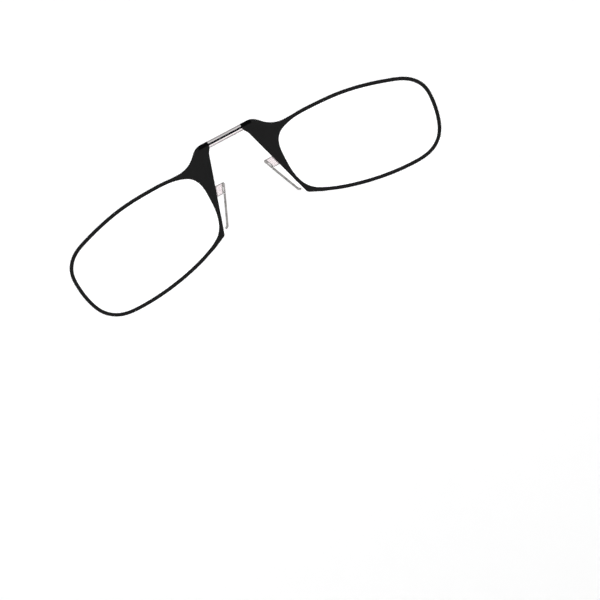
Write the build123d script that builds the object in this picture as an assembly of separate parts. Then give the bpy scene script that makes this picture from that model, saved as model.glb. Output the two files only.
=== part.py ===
from build123d import *
import os
from math import cos, radians, sin, tan

# Nose-clip reading glasses: two rigid halves on a springy bridge wire, with a sprung pad leaf on each half.
# Millimetres. +Z is up as worn, the front faces -Y, and the wearer's left is +X.
# The origin is the middle of the bridge, on the wire's axis. Outlines are drawn in the XZ plane for the +X
# half; the other half is its mirror image in the plane X = 0.

# ---- Lens opening: the boxing size of the free-form shape, and where its box sits
LENS_WIDTH = 43.6
LENS_HEIGHT = 26.6
HALF_BRIDGE_TO_LENS = 12.0      # from the centre plane to the nasal side of the opening
LENS_TOP_DROP = 4.2             # from the bridge axis down to the top of the opening
RIM_WIDTH = 1.0

# ---- Depth of the layers, front to back
DEPTH = 2.0                     # the whole thickness, which slides into a flat case
FLANGE_THICKNESS = 0.55         # clear flange behind the black front
FLANGE_PROUD = 0.2              # how far the clear flange shows past the black outline
LENS_RADIUS = 293.0             # front curve of a flat-backed +2.00 dioptre lens in polycarbonate
LENS_CENTRE_THICKNESS = 1.65
LENS_SEAT_GAP = 0.03            # between the lens dome and the rim around it
FRAME_EDGE_BREAK = 0.15         # bevel around the front of the rim and web

# ---- Bridge
BRIDGE_SPAN = 10.4              # bare length between the two webs
SLEEVE_DIAMETER = 2.0
WIRE_DIAMETER = 0.4
WIRE_GAP = 0.02                 # around the wire in its sleeve, notch and hook pocket
HOOK_REACH = 2.5                # from the web's end face to the middle of the hooked wire end
HOOK_BEND_RADIUS = 0.6
HOOK_LENGTH = 1.6               # from the wire's axis down to the end of the hook
KEEPER_LENGTH = 3.1
KEEPER_GAP = 0.02               # at the keeper's far end

# ---- Web: the broad black arm from the bridge down the side of the nose
WEB_END_HEIGHT = 1.95
SHOULDER_LENGTH = 3.75          # from the end face to the corner where the top edge turns down
SHOULDER_SLOPE = 45.0           # degrees below level
SHOULDER_RADIUS = 4.1
DIP_RADIUS = 8.0
DIP_BELOW_RIM = 0.35            # how far the top edge dips below the rim's own top
DIP_RUN = 7.5                   # from the nasal side of the opening to where the web's top joins the rim
DIP_RISE = 0.1                  # from the dip up to that joint
END_LIFT = 0.3                  # how far the web's end face stops short at the bottom
THROAT_WIDTH = 1.05             # small bevel under the web's end face
THROAT_HEIGHT = 1.3
THROAT_RADIUS = 1.5
NASAL_ANGLE = 17.0              # of the nasal edge, from vertical
FOOT_RISE = 6.15                # from the bottom of the opening up to the foot corner
FOOT_RADIUS = 1.3
KNEE_RUN = 4.4                  # along level, from the foot corner to the soft bend in the lower edge
KNEE_DROP = 2.07                # from the foot corner down to that bend
KNEE_RADIUS = 12.0
FOOT_JOIN = 14                  # the outline point below, counted from 0, that the lower edge runs on to
FOOT_JOIN_INSET = 0.1           # how far inside the rim's outer edge it ends

# ---- Pad bracket and pad leaf
BRACKET_DROP = 11.2             # from the bridge axis down to the bracket's top
BRACKET_HEIGHT = 2.9
BRACKET_DEPTH = 1.7
BRACKET_REACH = 2.95            # from the nasal edge to the leaf's inner face, at the bracket's top
BRACKET_CORNER_RADIUS = 0.45
TONGUE_LENGTH = 1.1             # how far the bracket's tongue goes into the frame
TONGUE_THICKNESS = 0.7
TONGUE_SHOULDER = 0.45          # step above and below the tongue
TONGUE_GAP = 0.02
LEAF_ANGLE = 22.9               # from vertical
LEAF_THICKNESS = 0.6
LEAF_DEPTH = 2.0
LEAF_LENGTH = 9.75              # from the socket to the bend at the tip
TIP_LENGTH = 0.75
TIP_ANGLE = 62.0                # of the turned-out tip, from vertical
TIP_ROUND = 0.22
LEAF_BEND_RADIUS = 0.8
BEAD_RADIUS = 0.3
BEAD_GAP = 0.04
BEAD_RISE = 0.42                # from the bracket's lower face up to the bead's middle
NECK_WIDTH = 0.34
NECK_ROOT = 0.3                 # how far the neck runs down into the blade
NECK_GAP = 0.06                 # each side of the neck, so that the leaf can swing
LEAF_TOP_GAP = 0.15             # under the bracket, so that the leaf can swing
RELIEF_WIDTH = 0.16
RELIEF_LENGTH = 1.5

# The lens opening's outline, in half widths and half heights of its box from the box's middle, clockwise from
# the upper nasal corner as seen from the front.
LENS_SHAPE = [
    (-0.858, 0.890), (-0.725, 0.962), (-0.390, 0.992), (-0.023, 0.957), (0.330, 0.852), (0.651, 0.698),
    (0.862, 0.540), (0.982, 0.293), (1.000, -0.053), (0.954, -0.458), (0.862, -0.758), (0.697, -0.945),
    (0.445, -1.000), (0.037, -0.953), (-0.358, -0.825), (-0.697, -0.638), (-0.890, -0.435),
    (-0.986, -0.075), (-1.000, 0.338), (-0.959, 0.728),
]

# ---- Derived places
LENS_X = HALF_BRIDGE_TO_LENS + LENS_WIDTH / 2
LENS_Z = -LENS_TOP_DROP - LENS_HEIGHT / 2
FRONT = -DEPTH / 2
BACK = DEPTH / 2
FLANGE_FRONT = BACK - FLANGE_THICKNESS
WEB_END = BRIDGE_SPAN / 2
WEB_TOP = WEB_END_HEIGHT / 2
WIRE_RADIUS = WIRE_DIAMETER / 2
NOTCH_FLOOR = -WIRE_RADIUS - WIRE_GAP
BRACKET_BOTTOM = -BRACKET_DROP - BRACKET_HEIGHT
THROAT_Z = -WEB_TOP - THROAT_HEIGHT
HOOK_X = WEB_END + HOOK_REACH
BEAD_RUN = (BRACKET_HEIGHT - BEAD_RISE + LEAF_THICKNESS * sin(radians(LEAF_ANGLE))) / cos(radians(LEAF_ANGLE))


def in_plane(x, z):
    """A point of the outline plane, as a 3D vector at Y = 0."""
    return Vector(x, 0, z)


def outline(corners, radii=None, grow=0.0):
    """A flat face inside straight runs between corners, each rounded to its radius, then moved outwards."""
    radii = radii or [0] * len(corners)
    face = make_face(FilletPolyline(*corners, radius=radii, close=True))
    if grow:
        face = offset(face, grow, kind=Kind.INTERSECTION)
    return face


def slab(face, front, back):
    """The solid between two depths whose outline is a flat face drawn at Y = 0."""
    return Pos(0, front, 0) * extrude(face, back - front, dir=(0, 1, 0))


def box_between(x_low, x_high, y_low, y_high, z_low, z_high):
    """A box by its limits along the three axes."""
    centre = Pos((x_low + x_high) / 2, (y_low + y_high) / 2, (z_low + z_high) / 2)
    return centre * Box(x_high - x_low, y_high - y_low, z_high - z_low)


def nasal_x(z):
    """Where the straight nasal edge of the black web lies at a height."""
    return WEB_END + THROAT_WIDTH + (THROAT_Z - z) * tan(radians(NASAL_ANGLE))


def opening_points(grow):
    """The points that the lens opening's outline passes through, moved outwards by a distance."""
    points = [in_plane(LENS_X + u * LENS_WIDTH / 2, LENS_Z + v * LENS_HEIGHT / 2) for u, v in LENS_SHAPE]
    moved = []
    for i, point in enumerate(points):
        along = (points[(i + 1) % len(points)] - points[i - 1]).normalized()
        moved.append(point + Vector(-along.Z, 0, along.X) * grow)
    return moved


def opening_face(grow):
    """The lens opening's outline as a flat face, moved outwards by a distance."""
    return make_face(Spline(*opening_points(grow), periodic=True))


def web_face(grow):
    """The web's outline, from the bridge end down the side of the nose, moved outwards by a distance."""
    dip_z = RIM_WIDTH - LENS_TOP_DROP - DIP_BELOW_RIM
    foot_z = FOOT_RISE - LENS_TOP_DROP - LENS_HEIGHT
    shoulder_x = WEB_END + SHOULDER_LENGTH
    dip_x = shoulder_x + (WEB_TOP - dip_z) / tan(radians(SHOULDER_SLOPE))
    join_x = HALF_BRIDGE_TO_LENS + DIP_RUN
    foot_x = nasal_x(foot_z)
    corners = [
        in_plane(WEB_END, WEB_TOP),
        in_plane(shoulder_x, WEB_TOP),
        in_plane(dip_x, dip_z),
        in_plane(join_x, dip_z + DIP_RISE),
        in_plane(join_x, LENS_Z),
        opening_points(RIM_WIDTH - FOOT_JOIN_INSET)[FOOT_JOIN],
        in_plane(foot_x + KNEE_RUN, foot_z - KNEE_DROP),
        in_plane(foot_x, foot_z),
        in_plane(WEB_END + THROAT_WIDTH, THROAT_Z),
        in_plane(WEB_END, END_LIFT - WEB_TOP),
    ]
    radii = [0, SHOULDER_RADIUS, DIP_RADIUS, 0, 0, 0, KNEE_RADIUS, FOOT_RADIUS, THROAT_RADIUS, 0]
    return outline(corners, radii, grow)


def half_outline(front, back, grow):
    """Rim, web and opening of one half as one filled slab, cut square where the bridge starts."""
    filled = slab(opening_face(RIM_WIDTH + grow), front, back) + slab(web_face(grow), front, back)
    beyond_end = box_between(0, WEB_END, front, back, LENS_Z, DEPTH)
    return filled - beyond_end


def wire():
    """The spring wire: straight across the bridge, with a hook turned down inside each web."""
    route = [
        in_plane(-HOOK_X, -HOOK_LENGTH),
        in_plane(-HOOK_X, 0),
        in_plane(HOOK_X, 0),
        in_plane(HOOK_X, -HOOK_LENGTH),
    ]
    path = FilletPolyline(*route, radius=HOOK_BEND_RADIUS)
    return sweep(Plane(path @ 0, z_dir=path % 0) * Circle(WIRE_RADIUS), path)


def sleeve():
    """The clear sleeve that fills the bridge between the webs, around the wire."""
    bore = Cylinder(WIRE_RADIUS + WIRE_GAP, BRIDGE_SPAN)
    return Rotation(0, 90, 0) * (Cylinder(SLEEVE_DIAMETER / 2, BRIDGE_SPAN) - bore)


def keeper_notch(end_gap):
    """The notch in the web's top edge that the keeper fills, or the keeper's own block when given a gap."""
    return box_between(WEB_END, WEB_END + KEEPER_LENGTH - end_gap, FRONT, FLANGE_FRONT, NOTCH_FLOOR, WEB_TOP)


def wire_channel():
    """The room around the wire and its hook, inside the keeper and the web."""
    room = WIRE_RADIUS + WIRE_GAP
    straight = box_between(WEB_END, HOOK_X + room, -room, room, NOTCH_FLOOR, room)
    pocket = box_between(
        HOOK_X - HOOK_BEND_RADIUS, HOOK_X + room, -room, room, -HOOK_LENGTH - WIRE_GAP, NOTCH_FLOOR
    )
    return straight + pocket


def wire_keeper():
    """The gloss block pressed into the notch over the wire, flush with the web's top edge."""
    block = half_outline(FRONT, FLANGE_FRONT, 0) & keeper_notch(KEEPER_GAP)
    return block - wire_channel()


def bracket_tongue(gap):
    """The tongue that roots the pad bracket in the frame, or its pocket when given a gap."""
    low = BRACKET_BOTTOM + TONGUE_SHOULDER - gap
    high = -BRACKET_DROP - TONGUE_SHOULDER + gap
    inset = TONGUE_LENGTH + gap
    corners = [
        in_plane(nasal_x(high) - FLANGE_PROUD, high),
        in_plane(nasal_x(high) + inset, high),
        in_plane(nasal_x(low) + inset, low),
        in_plane(nasal_x(low) - FLANGE_PROUD, low),
    ]
    half = TONGUE_THICKNESS / 2 + gap
    return slab(outline(corners), -half, half)


def bevelled_slab(face):
    """A black slab with its front edges bevelled, except at the square end where the bridge starts."""
    solid = slab(face, FRONT, FLANGE_FRONT)
    front_edges = solid.edges().filter_by_position(Axis.Y, FRONT, FRONT)
    past_end = front_edges.filter_by(lambda edge: edge.bounding_box().max.X > WEB_END + FRAME_EDGE_BREAK)
    return chamfer(past_end, FRAME_EDGE_BREAK)


def frame():
    """The black front: rim and nasal web in one moulding, with the wire's notch and the bracket's pocket."""
    filled = bevelled_slab(opening_face(RIM_WIDTH)) + bevelled_slab(web_face(0))
    solid = filled - slab(opening_face(0), FRONT, FLANGE_FRONT)
    opening_edge = solid.edges().filter_by_position(Axis.Y, FRONT, FRONT).sort_by(SortBy.LENGTH)[-1]
    solid = chamfer(opening_edge, FRAME_EDGE_BREAK)
    return solid - keeper_notch(0) - wire_channel() - bracket_tongue(TONGUE_GAP)


def lens():
    """The clear moulding: a flat-backed, domed reading lens with a thin flange behind the black front."""
    dome_front = BACK - LENS_CENTRE_THICKNESS
    ball = Pos(LENS_X, dome_front + LENS_RADIUS, LENS_Z) * Sphere(LENS_RADIUS)
    plug = slab(opening_face(-LENS_SEAT_GAP), FRONT, FLANGE_FRONT)
    return half_outline(FLANGE_FRONT, BACK, FLANGE_PROUD) + (plug & ball)


def leaf_place(s, m):
    """A point by the pad leaf: s down its inner face from the bracket top, m out of it towards the frame."""
    turn = radians(LEAF_ANGLE)
    start = in_plane(nasal_x(-BRACKET_DROP) - BRACKET_REACH, -BRACKET_DROP)
    return start + Vector(sin(turn), 0, -cos(turn)) * s + Vector(cos(turn), 0, sin(turn)) * m


def leaf_run(z, m):
    """How far down the leaf a height is reached, at a distance out of its inner face."""
    turn = radians(LEAF_ANGLE)
    return (-BRACKET_DROP - z + m * sin(turn)) / cos(turn)


def leaf_strip(s_low, s_high, m_low, m_high):
    """A straight strip along the leaf, as a flat face."""
    corners = [leaf_place(s_low, m_low), leaf_place(s_high, m_low), leaf_place(s_high, m_high)]
    return outline(corners + [leaf_place(s_low, m_high)])


def bead(radius, front, back):
    """The round bead that the leaf swings on, or its socket."""
    centre = leaf_place(BEAD_RUN, LEAF_THICKNESS)
    return Pos(centre.X, (front + back) / 2, centre.Z) * Rotation(90, 0, 0) * Cylinder(radius, back - front)


def pad_bracket():
    """The clear block on the nasal edge, with the leaf's socket, its throat and a relief slot above it."""
    half = BRACKET_DEPTH / 2
    corners = [
        leaf_place(0, 0),
        leaf_place(leaf_run(BRACKET_BOTTOM, 0), 0),
        in_plane(nasal_x(BRACKET_BOTTOM), BRACKET_BOTTOM),
        in_plane(nasal_x(-BRACKET_DROP), -BRACKET_DROP),
    ]
    block = slab(outline(corners, [BRACKET_CORNER_RADIUS, 0, 0, 0]), -half, half)
    block = block + bracket_tongue(0)
    block = block - half_outline(FLANGE_FRONT, BACK, FLANGE_PROUD)
    throat = NECK_WIDTH / 2 + NECK_GAP
    cut = RELIEF_WIDTH / 2
    neck_room = leaf_strip(BEAD_RUN, BEAD_RUN + BRACKET_HEIGHT, LEAF_THICKNESS - throat, LEAF_THICKNESS + throat)
    relief = leaf_strip(BEAD_RUN - RELIEF_LENGTH, BEAD_RUN, LEAF_THICKNESS - cut, LEAF_THICKNESS + cut)
    socket = bead(BEAD_RADIUS + BEAD_GAP, -half, half)
    return block - slab(neck_room, -half, half) - slab(relief, -half, half) - socket


def pad_leaf():
    """The springy clear leaf: a bead and neck in the bracket, a straight blade and a tip turned outwards."""
    half = LEAF_DEPTH / 2
    top_z = BRACKET_BOTTOM - LEAF_TOP_GAP
    turn = radians(LEAF_ANGLE)
    mitre = LEAF_THICKNESS * tan(radians(TIP_ANGLE - LEAF_ANGLE) / 2)
    bend_run = BEAD_RUN + LEAF_LENGTH
    tip = radians(TIP_ANGLE)
    along_tip = Vector(sin(tip), 0, -cos(tip)) * TIP_LENGTH
    inner_bend = leaf_place(bend_run, 0)
    outer_bend = leaf_place(bend_run - mitre, LEAF_THICKNESS)
    corners = [
        leaf_place(leaf_run(top_z, 0), 0),
        inner_bend,
        inner_bend + along_tip + Vector(sin(tip), 0, -cos(tip)) * mitre,
        outer_bend + along_tip,
        outer_bend,
        leaf_place(leaf_run(top_z, LEAF_THICKNESS), LEAF_THICKNESS),
    ]
    blade = slab(outline(corners, [0, LEAF_BEND_RADIUS, TIP_ROUND, TIP_ROUND, TIP_ROUND, 0]), -half, half)
    neck_end = leaf_run(top_z, LEAF_THICKNESS) + NECK_ROOT
    neck_face = leaf_strip(BEAD_RUN, neck_end, LEAF_THICKNESS - NECK_WIDTH / 2, LEAF_THICKNESS)
    held = BRACKET_DEPTH / 2
    return blade + slab(neck_face, -held, held) + bead(BEAD_RADIUS, -held, held)


os.makedirs("parts", exist_ok=True)
export_step(wire(), "parts/bridge_wire.step")
export_step(sleeve(), "parts/bridge_sleeve.step")

HALF_PIECES = {
    "wire_keeper": wire_keeper(),
    "frame": frame(),
    "lens": lens(),
    "pad_bracket": pad_bracket(),
    "pad_leaf": pad_leaf(),
}
for name, piece in HALF_PIECES.items():
    export_step(piece, f"parts/left_{name}.step")
    export_step(mirror(piece, Plane.YZ), f"parts/right_{name}.step")
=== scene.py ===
"""Nose-clip reading glasses: the looks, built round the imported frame.

Everything is in metres in the row's own frame: the front faces -Y, +Z is up as worn, and the wearer's left
is +X. Two rigid halves hang on a springy wire bridge, and each half carries a clear sprung nose pad.
"""

import logging
import math
from dataclasses import dataclass, field
from enum import Enum
from typing import Callable, Sequence

import bpy
from mathutils import Matrix, Vector


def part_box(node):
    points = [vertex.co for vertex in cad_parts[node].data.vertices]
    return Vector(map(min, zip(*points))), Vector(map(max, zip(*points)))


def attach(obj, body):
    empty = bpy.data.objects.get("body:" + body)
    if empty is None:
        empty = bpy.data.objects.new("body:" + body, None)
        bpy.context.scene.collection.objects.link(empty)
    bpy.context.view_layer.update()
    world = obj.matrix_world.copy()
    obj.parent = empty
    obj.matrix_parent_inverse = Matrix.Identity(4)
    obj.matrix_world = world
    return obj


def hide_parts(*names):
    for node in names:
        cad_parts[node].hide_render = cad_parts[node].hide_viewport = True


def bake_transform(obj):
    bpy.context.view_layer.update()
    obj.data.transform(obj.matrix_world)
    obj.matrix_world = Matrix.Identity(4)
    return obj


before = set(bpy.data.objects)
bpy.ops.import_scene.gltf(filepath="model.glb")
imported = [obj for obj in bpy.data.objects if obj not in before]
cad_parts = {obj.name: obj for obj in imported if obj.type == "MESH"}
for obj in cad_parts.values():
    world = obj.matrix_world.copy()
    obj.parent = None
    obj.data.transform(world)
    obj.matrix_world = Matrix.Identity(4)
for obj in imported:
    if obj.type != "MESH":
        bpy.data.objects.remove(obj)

LOG = logging.getLogger("glasses")
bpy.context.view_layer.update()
MM = 0.001
TOUCHING = 1e-6                 # two places closer than this are the same place, in metres
MERGE = 0.002 * MM              # the loose triangles of a CAD node are merged within this
MERGE_FINISHED = 0.0001 * MM    # and the points of a finished piece within this
FLAT_WITHIN = math.radians(0.4)  # faces closer to level than this are dissolved into one


class Side(Enum):
    """The wearer's left or right half, with the sign of its X."""

    LEFT = 1
    RIGHT = -1

    @property
    def word(self) -> str:
        """The prefix of the side's node and body names."""
        return self.name.lower()


class Select(Enum):
    """What edit mode selects."""

    VERTS = "VERT"
    EDGES = "EDGE"
    FACES = "FACE"


# ---------------------------------------------------------------------------------------------------------
# Shader maths
# ---------------------------------------------------------------------------------------------------------


class Signal:
    """A value socket of a node tree, on which Python's operators add Math nodes."""

    def __init__(self, graph: "Graph", socket: bpy.types.NodeSocket) -> None:
        """Wraps one output socket of a graph.

        Args:
            graph: The graph that the socket belongs to.
            socket: The output socket.
        """
        self.graph = graph
        self.socket = socket

    def _math(self, operation: str, first: object, second: object) -> "Signal":
        """Adds one Math node.

        Args:
            operation: The node's operation.
            first: Its first value, a number or a Signal.
            second: Its second value.

        Returns:
            The node's result.
        """
        return self.graph.node("ShaderNodeMath", {"operation": operation}, {0: first, 1: second})

    def __add__(self, other: object) -> "Signal":
        """self + other."""
        return self._math("ADD", self, other)

    def __radd__(self, other: object) -> "Signal":
        """other + self."""
        return self._math("ADD", other, self)

    def __sub__(self, other: object) -> "Signal":
        """self - other."""
        return self._math("SUBTRACT", self, other)

    def __rsub__(self, other: object) -> "Signal":
        """other - self."""
        return self._math("SUBTRACT", other, self)

    def __mul__(self, other: object) -> "Signal":
        """self * other."""
        return self._math("MULTIPLY", self, other)

    def __rmul__(self, other: object) -> "Signal":
        """other * self."""
        return self._math("MULTIPLY", other, self)

    def __pow__(self, other: object) -> "Signal":
        """self ** other."""
        return self._math("POWER", self, other)


class Graph:
    """One material and the nodes in it."""

    def __init__(self, name: str) -> None:
        """Starts an empty node tree with an output node.

        Args:
            name: The material's name.
        """
        self.material = bpy.data.materials.new(name)
        self.material.use_nodes = True
        self.tree = self.material.node_tree
        self.tree.nodes.clear()
        self.output = self.tree.nodes.new("ShaderNodeOutputMaterial")

    def raw(self, kind: str, settings: dict, inputs: dict) -> bpy.types.Node:
        """Adds a node, sets it up, then fills its sockets.

        Args:
            kind: The node's type name.
            settings: Property names and values.
            inputs: Socket names or numbers, with a value or a Signal for each.

        Returns:
            The new node.
        """
        made = self.tree.nodes.new(kind)
        for key, value in settings.items():
            setattr(made, key, value)
        for key, value in inputs.items():
            self.put(made.inputs[key], value)
        return made

    def put(self, socket: bpy.types.NodeSocket, value: object) -> None:
        """Gives a socket a value, or links a Signal to it.

        Args:
            socket: The input socket.
            value: A number, a colour or a Signal.
        """
        if isinstance(value, Signal):
            self.tree.links.new(value.socket, socket)
        else:
            socket.default_value = value

    def node(self, kind: str, settings: dict, inputs: dict, result: object = 0) -> Signal:
        """Adds a node and returns one of its outputs as a Signal.

        Args:
            kind: The node's type name.
            settings: Property names and values, set first.
            inputs: Socket names or numbers and what feeds them.
            result: The output socket's name or number.

        Returns:
            The wrapped output socket.
        """
        return Signal(self, self.raw(kind, settings, inputs).outputs[result])

    def place(self) -> Signal:
        """The point in the piece's own space, which is the row's frame."""
        return self.node("ShaderNodeTexCoord", {}, {}, "Object")

    def noise(self, scale: float, detail: float = 3.0, roughness: float = 0.5) -> Signal:
        """Soft noise from 0 to 1.

        Args:
            scale: How many bumps there are in a metre.
            detail: How many finer layers are added.
            roughness: How strong the finer layers are.

        Returns:
            The noise.
        """
        sockets = {"Vector": self.place(), "Scale": scale, "Detail": detail, "Roughness": roughness}
        return self.node("ShaderNodeTexNoise", {}, sockets, 0)

    def step(self, value: Signal, low: float, high: float) -> Signal:
        """A smooth step of a value.

        Args:
            value: What is stepped.
            low: Where the step starts, 0 below it.
            high: Where the step ends, 1 above it.

        Returns:
            The step, from 0 to 1.
        """
        sockets = {"Value": value, "From Min": low, "From Max": high}
        return self.node("ShaderNodeMapRange", {"interpolation_type": "SMOOTHSTEP"}, sockets, 0)

    def blend_colour(self, share: object, low: Sequence[float], high: Sequence[float]) -> Signal:
        """A mix of two colours by a share."""
        return self.mix_colour(share, (*low, 1.0), (*high, 1.0))

    def mix_colour(self, share: object, low: object, high: object) -> Signal:
        """A mix of two colours by a share.

        Args:
            share: How much of the second colour there is, from 0 to 1.
            low: The first colour, four numbers or a Signal.
            high: The second colour.

        Returns:
            The mixed colour.
        """
        return self.node("ShaderNodeMix", {"data_type": "RGBA"}, {0: share, 6: low, 7: high}, 2)

    def along(self, direction: Sequence[float]) -> Signal:
        """How far each point lies along a direction.

        Args:
            direction: A unit vector in the row's frame.

        Returns:
            The distance from the origin, in metres.
        """
        sockets = {0: self.place(), 1: direction}
        return self.node("ShaderNodeVectorMath", {"operation": "DOT_PRODUCT"}, sockets, "Value")

    def facing(self, direction: Sequence[float]) -> Signal:
        """How squarely the surface faces a direction.

        Args:
            direction: A unit vector in the piece's own space.

        Returns:
            A number from -1, facing away, to 1.
        """
        sockets = {0: self.node("ShaderNodeTexCoord", {}, {}, "Normal"), 1: direction}
        return self.node("ShaderNodeVectorMath", {"operation": "DOT_PRODUCT"}, sockets, "Value")

    def bump(self, height: Signal, strength: float, distance: float) -> Signal:
        """A bumped normal from a height.

        Args:
            height: The height, from 0 to 1.
            strength: How much of the bump shows.
            distance: The height of a full bump, in metres.

        Returns:
            The normal.
        """
        sockets = {"Height": height, "Strength": strength, "Distance": distance}
        return self.node("ShaderNodeBump", {}, sockets, 0)

    def surface(self, constants: dict, varying: dict) -> bpy.types.Material:
        """Ends the tree in a Principled surface.

        Args:
            constants: Socket names and the numbers or colours that are the same all over.
            varying: Socket names and the Signals that feed them.

        Returns:
            The finished material.
        """
        shader = self.raw("ShaderNodeBsdfPrincipled", {}, {**constants, **varying})
        self.tree.links.new(shader.outputs[0], self.output.inputs["Surface"])
        return self.material


# ---------------------------------------------------------------------------------------------------------
# Finishes
# ---------------------------------------------------------------------------------------------------------


@dataclass(frozen=True)
class MattBlack:
    """The front moulding: matt black nylon with a very fine spark-eroded grain.

    Scales are in bumps a metre. A finish's roughness is a base plus a share of each noise.
    """

    slot: str = "frame"
    dark: tuple = (0.0030, 0.0030, 0.0031)
    light: tuple = (0.0050, 0.0050, 0.0052)
    specular: float = 0.06
    grain_scale: float = 5200.0
    mottle_scale: float = 240.0
    mottle_share: float = 0.6
    roughness: float = 0.46
    rough_mottle: float = 0.10
    rough_grain: float = 0.06
    bump_strength: float = 0.25
    bump_height: float = 0.04 * MM

    def make(self) -> bpy.types.Material:
        """Builds the material.

        Returns:
            The finished material.
        """
        graph = Graph("matt_black")
        grain = graph.noise(self.grain_scale, 2.0)
        mottle = graph.noise(self.mottle_scale, 4.0)
        share = mottle * self.mottle_share + grain * (1 - self.mottle_share)
        colour = graph.blend_colour(share, self.dark, self.light)
        roughness = self.roughness + mottle * self.rough_mottle + grain * self.rough_grain
        normal = graph.bump(grain, self.bump_strength, self.bump_height)
        constants = {"Specular IOR Level": self.specular}
        return graph.surface(constants, {"Base Color": colour, "Roughness": roughness, "Normal": normal})


@dataclass(frozen=True)
class GlossBlack:
    """The wire keepers: polished black resin with faint flow marks."""

    slot: str = "keeper"
    dark: tuple = (0.0004, 0.0004, 0.0005)
    light: tuple = (0.0012, 0.0012, 0.0014)
    specular: float = 0.005
    flow_scale: float = 900.0
    roughness: float = 0.06
    rough_flow: float = 0.08
    bump_strength: float = 0.08
    bump_height: float = 0.03 * MM

    def make(self) -> bpy.types.Material:
        """Builds the material.

        Returns:
            The finished material.
        """
        graph = Graph("gloss_black")
        flow = graph.noise(self.flow_scale)
        colour = graph.blend_colour(flow, self.dark, self.light)
        roughness = self.roughness + flow * self.rough_flow
        normal = graph.bump(flow, self.bump_strength, self.bump_height)
        constants = {"Specular IOR Level": self.specular}
        return graph.surface(constants, {"Base Color": colour, "Roughness": roughness, "Normal": normal})


@dataclass(frozen=True)
class ClearLens:
    """The lens moulding: clear polished polycarbonate, wiped a little unevenly, with grey shade painted
    round its edge.

    The faces square to the front are clear. Those turned further than edge_from are on the way to the
    painted grey shade.
    """

    slot: str = "lens"
    tint: tuple = (0.992, 0.993, 0.996)
    smear: tuple = (0.975, 0.978, 0.985)
    # edge is painted shade: the grey given to the lens faces that turn away from the front.
    edge: tuple = (0.30, 0.29, 0.295)
    sheen: tuple = (0.4, 0.4, 0.4, 1.0)
    index: float = 1.586
    haze_scale: float = 90.0
    smear_from: float = 0.45
    smear_to: float = 0.75
    edge_from: float = 0.03
    edge_to: float = 0.25
    roughness: float = 0.004
    rough_smear: float = 0.012

    def make(self) -> bpy.types.Material:
        """Builds the material.

        Returns:
            The finished material.
        """
        graph = Graph("clear_lens")
        haze = graph.noise(self.haze_scale)
        wiped = graph.step(haze, self.smear_from, self.smear_to)
        turned = 1 - graph.facing((0, 1, 0)) ** 2
        face = graph.blend_colour(wiped, self.tint, self.smear)
        # Painted shade: faces turned from the front are greyed towards edge.
        edge_shade_share = graph.step(turned, self.edge_from, self.edge_to)
        colour = graph.mix_colour(edge_shade_share, face, (*self.edge, 1.0))
        roughness = self.roughness + wiped * self.rough_smear
        constants = {"IOR": self.index, "Transmission Weight": 1.0, "Specular Tint": self.sheen}
        return graph.surface(constants, {"Base Color": colour, "Roughness": roughness})


@dataclass(frozen=True)
class ClearSleeve:
    """The bridge sleeve: clear urethane, faintly pink below, with grey shade painted unevenly along its top
    side.
    """

    slot: str = "sleeve"
    # The first colour is painted shade for the sleeve's top side. The second is the sleeve's own faintly
    # pink clear.
    cloudy: tuple = (0.66, 0.635, 0.64)
    clear: tuple = (0.98, 0.91, 0.925)
    sheen: tuple = (0.12, 0.12, 0.12, 1.0)
    index: float = 1.50
    cloudy_above: float = 0.16 * MM
    clear_below: float = -0.05 * MM
    cloud_scale: float = 650.0
    top_shade_base: float = 0.85
    cloud_share: float = 0.3
    roughness: float = 0.04
    rough_cloud: float = 0.06

    def make(self) -> bpy.types.Material:
        """Builds the material.

        Returns:
            The finished material.
        """
        graph = Graph("clear_sleeve")
        cloud = graph.noise(self.cloud_scale, 4.0)
        # Painted shade: the sleeve turns grey going up across its middle, made uneven by the cloud noise.
        top_shade_mask = graph.step(graph.along((0, 0, 1)), self.clear_below, self.cloudy_above)
        share = top_shade_mask * (self.top_shade_base + cloud * self.cloud_share)
        colour = graph.blend_colour(share, self.clear, self.cloudy)
        roughness = self.roughness + cloud * self.rough_cloud
        constants = {"IOR": self.index, "Transmission Weight": 1.0, "Specular Tint": self.sheen}
        return graph.surface(constants, {"Base Color": colour, "Roughness": roughness})


@dataclass(frozen=True)
class SpringWire:
    """The bridge wire: nickel-titanium with a dark oxide and drawing marks along it."""

    slot: str = "wire"
    dark: tuple = (0.006, 0.006, 0.010)
    light: tuple = (0.016, 0.016, 0.024)
    specular: float = 0.04
    mark_scale: float = 9000.0
    mark_stretch: tuple = (0.06, 1.0, 1.0)
    roughness: float = 0.45
    rough_marks: float = 0.20
    bump_strength: float = 0.3
    bump_height: float = 0.01 * MM

    def make(self) -> bpy.types.Material:
        """Builds the material.

        Returns:
            The finished material.
        """
        graph = Graph("spring_wire")
        mapping = {"Vector": graph.place(), "Scale": self.mark_stretch}
        stretched = graph.node("ShaderNodeMapping", {}, mapping)
        sockets = {"Vector": stretched, "Scale": self.mark_scale, "Detail": 3.0}
        drawn = graph.node("ShaderNodeTexNoise", {}, sockets)
        colour = graph.blend_colour(drawn, self.dark, self.light)
        roughness = self.roughness + drawn * self.rough_marks
        normal = graph.bump(drawn, self.bump_strength, self.bump_height)
        constants = {"Metallic": 0.0, "Specular IOR Level": self.specular}
        return graph.surface(constants, {"Base Color": colour, "Roughness": roughness, "Normal": normal})


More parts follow.
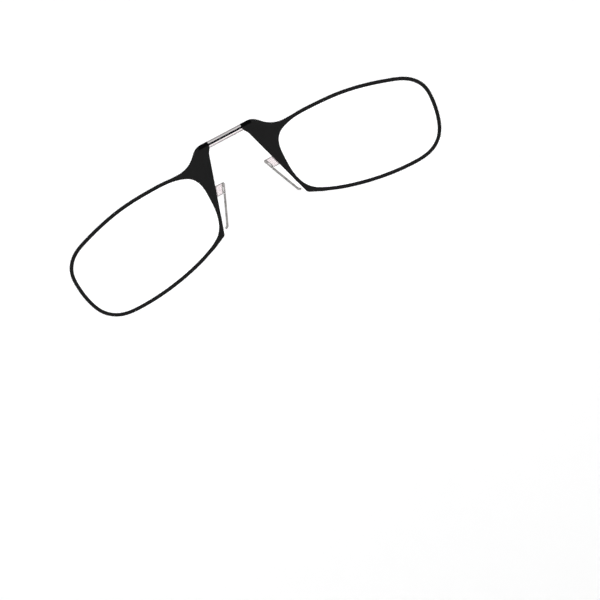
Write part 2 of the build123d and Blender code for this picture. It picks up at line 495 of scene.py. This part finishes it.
@dataclass(frozen=True)
class SmokyLeaf:
    """The pad leaf: a soft translucent grey elastomer, a little uneven along its length."""

    slot: str = "leaf"
    dark: tuple = (0.16, 0.152, 0.148)
    light: tuple = (0.40, 0.385, 0.375)
    sheen: tuple = (0.3, 0.3, 0.3, 1.0)
    index: float = 1.43
    clearness: float = 0.5
    streak_scale: float = 1500.0
    streak_roughness: float = 0.6
    dark_below: float = 0.3
    light_above: float = 0.7
    roughness: float = 0.22
    rough_streak: float = 0.15
    bump_strength: float = 0.15
    bump_height: float = 0.03 * MM

    def make(self) -> bpy.types.Material:
        """Builds the material.

        Returns:
            The finished material.
        """
        graph = Graph("smoky_leaf")
        streak = graph.noise(self.streak_scale, 3.0, self.streak_roughness)
        share = graph.step(streak, self.dark_below, self.light_above)
        colour = graph.blend_colour(share, self.dark, self.light)
        roughness = self.roughness + streak * self.rough_streak
        normal = graph.bump(streak, self.bump_strength, self.bump_height)
        constants = {"IOR": self.index, "Transmission Weight": self.clearness, "Specular Tint": self.sheen}
        return graph.surface(constants, {"Base Color": colour, "Roughness": roughness, "Normal": normal})


@dataclass(frozen=True)
class ClearBracket:
    """The pad bracket: clear plastic, smoky in the jaw that grips the leaf, with shade painted along top
    and bottom and as a dark line along its slot.

    Its bands are measured along the leaf's own normal, from the leaf's inner face towards the frame.
    """

    normal: tuple
    inner: float
    top: float
    bottom: float
    slot: str = "bracket"
    clear: tuple = (0.85, 0.77, 0.785)
    smoky: tuple = (0.33, 0.315, 0.31)
    # The next two colours are painted shade: a dark line along the slot, and dark bands along the top and
    # bottom edges.
    slot_line_shade: tuple = (0.10, 0.095, 0.09)
    top_bottom_shade: tuple = (0.16, 0.15, 0.145)
    sheen: tuple = (0.25, 0.25, 0.25, 1.0)
    index: float = 1.49
    clearness: float = 0.85
    jaw: float = 0.50 * MM
    slot_line_shade_at: float = 0.60 * MM
    slot_line_shade_half: float = 0.13 * MM
    outline: float = 0.09 * MM
    edge_band: float = 0.26 * MM
    cloud_scale: float = 1100.0
    cloud_share: float = 0.06
    roughness: float = 0.06
    rough_cloud: float = 0.08
    bump_strength: float = 0.10
    bump_height: float = 0.03 * MM

    def make(self, name: str) -> bpy.types.Material:
        """Builds the material.

        Args:
            name: The material's name.

        Returns:
            The finished material.
        """
        graph = Graph(name)
        cloud = graph.noise(self.cloud_scale)
        out = graph.along(self.normal) - self.inner
        height = graph.along((0, 0, 1))
        body = graph.step(out, self.jaw, self.jaw + self.edge_band)
        # Painted shade: dark bands along the top and bottom edges.
        off_top = graph.step(self.top - height, self.outline, self.edge_band)
        off_bottom = graph.step(height - self.bottom, self.outline, self.edge_band)
        clear = body * (1 - self.cloud_share + cloud * self.cloud_share)
        face = graph.blend_colour(clear, self.smoky, self.clear)
        colour = graph.mix_colour(off_top * off_bottom, (*self.top_bottom_shade, 1.0), face)
        # Painted shade: a dark line along the slot, at groove_at from the leaf's inner face.
        off_line = graph.step((out - self.slot_line_shade_at) ** 2, 0.0, self.slot_line_shade_half**2)
        shade = graph.mix_colour(off_line, (*self.slot_line_shade, 1.0), colour)
        roughness = self.roughness + cloud * self.rough_cloud
        normal = graph.bump(cloud, self.bump_strength, self.bump_height)
        constants = {"IOR": self.index, "Transmission Weight": self.clearness, "Specular Tint": self.sheen}
        return graph.surface(constants, {"Base Color": shade, "Roughness": roughness, "Normal": normal})


@dataclass(frozen=True)
class StudioPaper:
    """The studio sweep: pale matt paper, with shade painted underfoot and high up, and a painted glow that
    is brightest where it rises.

    Lengths are in metres: how far out from the middle, and how far up from the glasses.
    """

    shaded: tuple = (0.45, 0.45, 0.455)
    lit: tuple = (0.75, 0.75, 0.75)
    dim: tuple = (0.10, 0.10, 0.10)
    bright: tuple = (0.42, 0.42, 0.42)
    grey_out_to: float = 0.40
    white_from: float = 1.20
    white_up_to: float = 0.65
    grey_from: float = 1.05
    cloud_scale: float = 3.0
    cloud_reach: float = 0.05
    roughness: float = 0.95

    def make(self) -> bpy.types.Material:
        """Builds the material.

        Returns:
            The finished material.
        """
        graph = Graph("studio_paper")
        flat = {0: graph.place(), 1: (1, 1, 0)}
        level = graph.node("ShaderNodeVectorMath", {"operation": "MULTIPLY"}, flat)
        radius = graph.node("ShaderNodeVectorMath", {"operation": "LENGTH"}, {0: level}, "Value")
        cloud = graph.noise(self.cloud_scale, 2.0) * self.cloud_reach
        out = graph.step(radius + cloud, self.grey_out_to, self.white_from)
        high = graph.step(graph.along((0, 0, 1)), self.white_up_to, self.grey_from)
        share = out * (1 - high)
        colour = graph.blend_colour(share, self.shaded, self.lit)
        # Painted light: the paper glows, from dim to bright by the same share.
        glow = graph.blend_colour(share, self.dim, self.bright)
        constants = {"Roughness": self.roughness, "Specular IOR Level": 0.0, "Emission Strength": 1.0}
        return graph.surface(constants, {"Base Color": colour, "Emission Color": glow})


# ---------------------------------------------------------------------------------------------------------
# The bench: modelling by operators
# ---------------------------------------------------------------------------------------------------------


class Bench:
    """Small helpers that run Blender's own modelling operators on one piece at a time."""

    @staticmethod
    def clear() -> None:
        """Leaves edit mode and deselects everything."""
        if bpy.context.object and bpy.context.object.mode != "OBJECT":
            bpy.ops.object.mode_set(mode="OBJECT")
        bpy.ops.object.select_all(action="DESELECT")

    @classmethod
    def take(cls, piece: bpy.types.Object) -> None:
        """Makes a piece the only one selected, and active.

        Args:
            piece: The mesh object.
        """
        cls.clear()
        piece.select_set(True)
        bpy.context.view_layer.objects.active = piece

    @staticmethod
    def started(name: str) -> bpy.types.Object:
        """Names the primitive that an operator has just added.

        Args:
            name: The name for the object and its mesh.

        Returns:
            The primitive.
        """
        piece = bpy.context.object
        piece.name = name
        piece.data.name = name
        return piece

    @classmethod
    def edit(cls, piece: bpy.types.Object, kind: Select = Select.VERTS) -> None:
        """Goes into edit mode on a piece with nothing selected.

        Args:
            piece: The mesh object.
            kind: What edit mode selects.
        """
        cls.take(piece)
        bpy.ops.object.mode_set(mode="EDIT")
        bpy.ops.mesh.select_mode(type=kind.value)
        bpy.ops.mesh.select_all(action="DESELECT")

    @classmethod
    def pick(cls, piece: bpy.types.Object, test: Callable[[Vector], bool]) -> None:
        """Selects the vertices whose place passes a test, and what they span, in edit mode.

        Args:
            piece: The mesh object.
            test: Says of a place whether its vertex is wanted.
        """
        cls.edit(piece)
        bpy.ops.object.mode_set(mode="OBJECT")
        for vertex in piece.data.vertices:
            vertex.select = test(vertex.co)
        bpy.ops.object.mode_set(mode="EDIT")

    @staticmethod
    def extrude(step: Vector) -> None:
        """Extrudes what is selected along a step and keeps the new end selected."""
        bpy.ops.mesh.extrude_region_move(TRANSFORM_OT_translate={"value": tuple(step)})

    @classmethod
    def modify(cls, piece: bpy.types.Object, kind: str, **settings: object) -> None:
        """Adds a modifier and applies it.

        Args:
            piece: The mesh to change.
            kind: The modifier's type.
            **settings: Its properties.
        """
        cls.take(piece)
        modifier = piece.modifiers.new(kind.lower(), kind)
        for key, value in settings.items():
            setattr(modifier, key, value)
        bpy.ops.object.modifier_apply(modifier=modifier.name)

    @classmethod
    def smooth(cls, piece: bpy.types.Object, degrees: float) -> None:
        """Shades smooth, except where faces meet at more than an angle."""
        cls.take(piece)
        bpy.ops.object.shade_smooth_by_angle(angle=math.radians(degrees))

    @classmethod
    def settle(cls, piece: bpy.types.Object) -> None:
        """Puts the object at the origin, unturned, with its place in its mesh and its faces outwards.

        Args:
            piece: The mesh object.
        """
        cls.take(piece)
        bpy.ops.object.transform_apply(location=True, rotation=True, scale=True)
        bpy.ops.object.mode_set(mode="EDIT")
        bpy.ops.mesh.select_all(action="SELECT")
        bpy.ops.mesh.remove_doubles(threshold=MERGE_FINISHED)
        bpy.ops.mesh.normals_make_consistent(inside=False)
        bpy.ops.object.mode_set(mode="OBJECT")

    @staticmethod
    def dress(piece: bpy.types.Object, material: bpy.types.Material) -> None:
        """Gives a piece one material."""
        piece.data.materials.clear()
        piece.data.materials.append(material)

    @classmethod
    def moulded(cls, node: str, edge: float, segments: int, degrees: float) -> bpy.types.Object:
        """A finished moulding with the shape of a CAD node and softened edges.

        Args:
            node: The CAD node whose mesh is copied and merged.
            edge: The width of the softened edges, in metres.
            segments: The steps across each softened edge.
            degrees: Edges sharper than this are softened.

        Returns:
            The new mesh object, which stands in for the node.
        """
        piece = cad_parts[node].copy()
        piece.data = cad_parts[node].data.copy()
        for key in list(piece.keys()):
            del piece[key]
        piece.parent = None
        piece.name = f"{node}_moulding"
        piece.data.name = piece.name
        bpy.context.scene.collection.objects.link(piece)
        cls.edit(piece)
        bpy.ops.mesh.select_all(action="SELECT")
        bpy.ops.mesh.remove_doubles(threshold=MERGE)
        bpy.ops.mesh.dissolve_limited(angle_limit=FLAT_WITHIN)
        bpy.ops.object.mode_set(mode="OBJECT")
        cls.modify(
            piece, "BEVEL", width=edge, segments=segments, limit_method="ANGLE",
            angle_limit=math.radians(degrees), use_clamp_overlap=True, harden_normals=False,
        )
        cls.smooth(piece, degrees)
        cls.modify(piece, "WEIGHTED_NORMAL", mode="FACE_AREA", weight=100, keep_sharp=True)
        return piece


# ---------------------------------------------------------------------------------------------------------
# The sub-assemblies
# ---------------------------------------------------------------------------------------------------------


@dataclass
class Bridge:
    """The spring wire and its clear sleeve, each as a left and a right piece that meet in the middle."""

    wire_finish: SpringWire = field(default_factory=SpringWire)
    sleeve_finish: ClearSleeve = field(default_factory=ClearSleeve)
    steps: int = 18
    around: int = 64
    hook_bend: float = 0.6 * MM
    bend_steps: int = 10
    bore_grip: float = 0.004 * MM
    sharp_over: float = 35.0

    def __post_init__(self) -> None:
        """Reads the bridge's sizes from the CAD nodes."""
        low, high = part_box("bridge_sleeve")
        self.half_span = high.x
        self.sleeve_radius = (high.z - low.z) / 2
        low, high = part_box("bridge_wire")
        self.wire_radius = high.z
        self.hook_x = high.x - self.wire_radius
        self.hook_foot = low.z

    def _rod(self, name: str, radius: float, inner: float) -> bpy.types.Object:
        """A rod or tube along +X from the centre plane to the web, in even steps.

        Args:
            name: The piece's name.
            radius: Its outer radius.
            inner: Its bore's radius, or 0 for a solid rod.

        Returns:
            The new mesh object.
        """
        Bench.clear()
        bpy.ops.mesh.primitive_circle_add(
            vertices=self.around, radius=radius, fill_type="NGON", rotation=(0, math.pi / 2, 0)
        )
        piece = Bench.started(name)
        bpy.ops.object.transform_apply(location=True, rotation=True, scale=True)
        Bench.edit(piece, Select.FACES)
        bpy.ops.mesh.select_all(action="SELECT")
        if inner > 0:
            bpy.ops.mesh.inset(thickness=radius - inner)
            bpy.ops.mesh.delete(type="FACE")
            bpy.ops.mesh.select_all(action="SELECT")
        for _ in range(self.steps):
            Bench.extrude(Vector((self.half_span / self.steps, 0, 0)))
        bpy.ops.object.mode_set(mode="OBJECT")
        return piece

    def wire(self) -> bpy.types.Object:
        """The wire from the centre plane to the foot of its hook.

        Returns:
            The new mesh object, on the wearer's left.
        """
        piece = self._rod("wire_length", self.wire_radius, 0)
        Bench.pick(piece, lambda co: co.x > self.half_span - TOUCHING)
        Bench.extrude(Vector((self.hook_x - self.hook_bend - self.half_span, 0, 0)))
        turn = Vector((self.hook_x - self.hook_bend, 0, -self.hook_bend))
        bpy.ops.mesh.spin(steps=self.bend_steps, angle=math.pi / 2, center=tuple(turn), axis=(0, 1, 0))
        Bench.extrude(Vector((0, 0, self.hook_foot + self.hook_bend)))
        bpy.ops.object.mode_set(mode="OBJECT")
        return piece

    def sleeve(self) -> bpy.types.Object:
        """The sleeve from the centre plane, where it runs on into its other half, to the web.

        Returns:
            The new mesh object, on the wearer's left, open at the centre plane.
        """
        piece = self._rod("sleeve_length", self.sleeve_radius, self.wire_radius - self.bore_grip)
        Bench.pick(piece, lambda co: abs(co.x) < TOUCHING)
        bpy.ops.mesh.delete(type="FACE")
        bpy.ops.object.mode_set(mode="OBJECT")
        return piece

    def build(self) -> None:
        """Makes each piece once, copies it for each side, and dresses it."""
        parts = [
            ("bridge_wire", self.wire(), self.wire_finish),
            ("bridge_sleeve", self.sleeve(), self.sleeve_finish),
        ]
        for node, first, finish in parts:
            material = finish.make()
            for side in Side:
                piece = first.copy()
                piece.data = first.data.copy()
                piece.name = f"{side.word}_{node}_half"
                bpy.context.scene.collection.objects.link(piece)
                piece.scale.x = side.value
                Bench.settle(piece)
                Bench.smooth(piece, self.sharp_over)
                Bench.dress(piece, material)
                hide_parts(node)
                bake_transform(piece)
                LOG.info("%s: %d faces", piece.name, len(piece.data.polygons))
            bpy.data.objects.remove(first)


@dataclass
class FrontHalf:
    """One rigid half: the black front, the clear lens behind it and the keeper over the wire."""

    side: Side
    edge: float = 0.07 * MM
    keeper_edge: float = 0.03 * MM
    lens_edge: float = 0.10 * MM
    keeper_swell: float = 0.019 * MM
    segments: int = 2
    soften_over: float = 30.0

    def _swell(self, keeper: bpy.types.Object) -> None:
        """Lets the keeper's far end meet the notch, so that no light comes through the joint.

        Args:
            keeper: The keeper's moulding.
        """
        far = max(abs(vertex.co.x) for vertex in keeper.data.vertices)
        end_depth = 1.5 * self.keeper_edge
        Bench.pick(keeper, lambda co: abs(co.x) > far - end_depth)
        bpy.ops.transform.translate(value=(self.side.value * self.keeper_swell, 0, 0))
        bpy.ops.object.mode_set(mode="OBJECT")

    def build(self, finishes: dict) -> None:
        """Makes the three mouldings and lets them ride on the half.

        Args:
            finishes: The materials by the node names' endings.
        """
        edges = {"frame": self.edge, "wire_keeper": self.keeper_edge, "lens": self.lens_edge}
        for ending, edge in edges.items():
            node = f"{self.side.word}_{ending}"
            piece = Bench.moulded(node, edge, self.segments, self.soften_over)
            if ending == "wire_keeper":
                self._swell(piece)
            finish, material = finishes[ending]
            Bench.dress(piece, material)
            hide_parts(node)
            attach(piece, f"{self.side.word}_half")
            LOG.info("%s: %d faces", piece.name, len(piece.data.polygons))


@dataclass
class NosePad:
    """One nose pad: the bracket on the frame and the sprung leaf in it."""

    side: Side
    leaf_angle: float = math.radians(22.9)
    edge: float = 0.09 * MM
    leaf_edge: float = 0.05 * MM
    segments: int = 3
    soften_over: float = 35.0

    def bracket_finish(self) -> ClearBracket:
        """The bracket's finish, placed by the leaf's slope and the bracket's own box.

        Returns:
            The finish for this side.
        """
        sign = self.side.value
        normal = Vector((sign * math.cos(self.leaf_angle), 0, math.sin(self.leaf_angle)))
        low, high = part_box(f"{self.side.word}_pad_bracket")
        nose_side = Vector((low.x if sign > 0 else high.x, 0, high.z))
        return ClearBracket(tuple(normal), nose_side.dot(normal), high.z, low.z)

    def build(self, leaf: SmokyLeaf, leaf_material: bpy.types.Material) -> None:
        """Makes the bracket and the leaf, dresses them and lets each ride on its body.

        Args:
            leaf: The leaves' finish.
            leaf_material: The material made from it.
        """
        word = self.side.word
        bracket = self.bracket_finish()
        parts = [
            ("pad_bracket", self.edge, bracket.slot, bracket.make(f"clear_{word}_bracket"), f"{word}_half"),
            ("pad_leaf", self.leaf_edge, leaf.slot, leaf_material, f"{word}_pad"),
        ]
        for ending, edge, slot, material, body in parts:
            node = f"{word}_{ending}"
            piece = Bench.moulded(node, edge, self.segments, self.soften_over)
            Bench.dress(piece, material)
            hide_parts(node)
            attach(piece, body)
            LOG.info("%s: %d faces", piece.name, len(piece.data.polygons))


@dataclass
class Studio:
    """The pale sweep, the soft light and the camera.

    frame_width is how much of the plane of the front the view spans, and aim is the place at its middle.
    """

    frame_width: float = 0.168
    roll: float = math.radians(27.9)
    aim: tuple = (-2.93 * MM, 0.0, -50.42 * MM)
    lens: float = 200.0
    sensor_width: float = 36.0
    clip_end: float = 20.0
    floor_drop: float = 0.35
    floor_radius: float = 1.1
    floor_corners: int = 96
    sharp_over: float = 60.0
    sweep_radius: float = 0.5
    sweep_steps: int = 12
    wall_height: float = 1.3
    sky: float = 0.25
    softbox_size: float = 1.3
    softbox_away: float = 1.3
    softbox_power: float = 18.0

    def build(self) -> None:
        """Makes the sweep, the light and the camera."""
        self._sweep()
        self._lights()
        self._camera()

    def _sweep(self) -> None:
        """A round floor that curves up into a wall all the way round."""
        Bench.clear()
        bpy.ops.mesh.primitive_circle_add(
            vertices=self.floor_corners,
            radius=self.floor_radius,
            fill_type="NGON",
            location=(0, 0, -self.floor_drop),
        )
        sweep = Bench.started("studio_sweep")
        Bench.edit(sweep, Select.EDGES)
        bpy.ops.mesh.select_all(action="SELECT")
        for i in range(self.sweep_steps):
            now = math.pi / 2 * i / self.sweep_steps
            then = math.pi / 2 * (i + 1) / self.sweep_steps
            radius = self.floor_radius + self.sweep_radius * math.sin(now)
            wider = self.floor_radius + self.sweep_radius * math.sin(then)
            rise = self.sweep_radius * (math.cos(now) - math.cos(then))
            bpy.ops.mesh.extrude_edges_move(TRANSFORM_OT_translate={"value": (0, 0, rise)})
            bpy.ops.transform.resize(value=(wider / radius, wider / radius, 1))
        bpy.ops.mesh.extrude_edges_move(TRANSFORM_OT_translate={"value": (0, 0, self.wall_height)})
        bpy.ops.mesh.select_all(action="SELECT")
        bpy.ops.mesh.normals_make_consistent(inside=True)
        bpy.ops.object.mode_set(mode="OBJECT")
        Bench.smooth(sweep, self.sharp_over)
        bpy.ops.object.transform_apply(location=True, rotation=True, scale=True)
        Bench.dress(sweep, StudioPaper().make())

    def _lights(self) -> None:
        """One large softbox in front, behind the camera, and a pale world above."""
        world = bpy.data.worlds.new("pale")
        bpy.context.scene.world = world
        world.use_nodes = True
        background = world.node_tree.nodes["Background"]
        background.inputs["Color"].default_value = (1, 1, 1, 1)
        background.inputs["Strength"].default_value = self.sky
        data = bpy.data.lights.new("softbox", "AREA")
        data.size = self.softbox_size
        data.energy = self.softbox_power
        lamp = bpy.data.objects.new("softbox", data)
        place = Matrix.Translation((0, -self.softbox_away, 0))
        lamp.matrix_world = place @ Matrix.Rotation(math.pi / 2, 4, "X")
        lamp.visible_camera = False
        bpy.context.scene.collection.objects.link(lamp)

    def _camera(self) -> None:
        """A long lens that looks level along +Y, rolled so that the bridge rises to the right."""
        data = bpy.data.cameras.new("camera")
        data.lens = self.lens
        data.sensor_width = self.sensor_width
        data.clip_end = self.clip_end
        camera = bpy.data.objects.new("camera", data)
        bpy.context.scene.collection.objects.link(camera)
        distance = self.frame_width * self.lens / self.sensor_width
        right = Vector((math.cos(self.roll), 0, -math.sin(self.roll)))
        up = Vector((math.sin(self.roll), 0, math.cos(self.roll)))
        turn = Matrix((right, up, (0, -1, 0))).transposed()
        place = Vector(self.aim) + Vector((0, -distance, 0))
        camera.matrix_world = Matrix.Translation(place) @ turn.to_4x4()
        bpy.context.scene.camera = camera


def main() -> None:
    """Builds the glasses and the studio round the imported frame."""
    logging.basicConfig(level=logging.INFO, format="%(name)s %(message)s")
    Bridge().build()
    finishes = {"frame": MattBlack(), "wire_keeper": GlossBlack(), "lens": ClearLens()}
    made = {ending: (finish, finish.make()) for ending, finish in finishes.items()}
    leaf = SmokyLeaf()
    leaf_material = leaf.make()
    for side in Side:
        FrontHalf(side).build(made)
        NosePad(side).build(leaf, leaf_material)
    Studio().build()
    bpy.context.scene.view_settings.view_transform = "Standard"


if __name__ == "__main__":
    main()
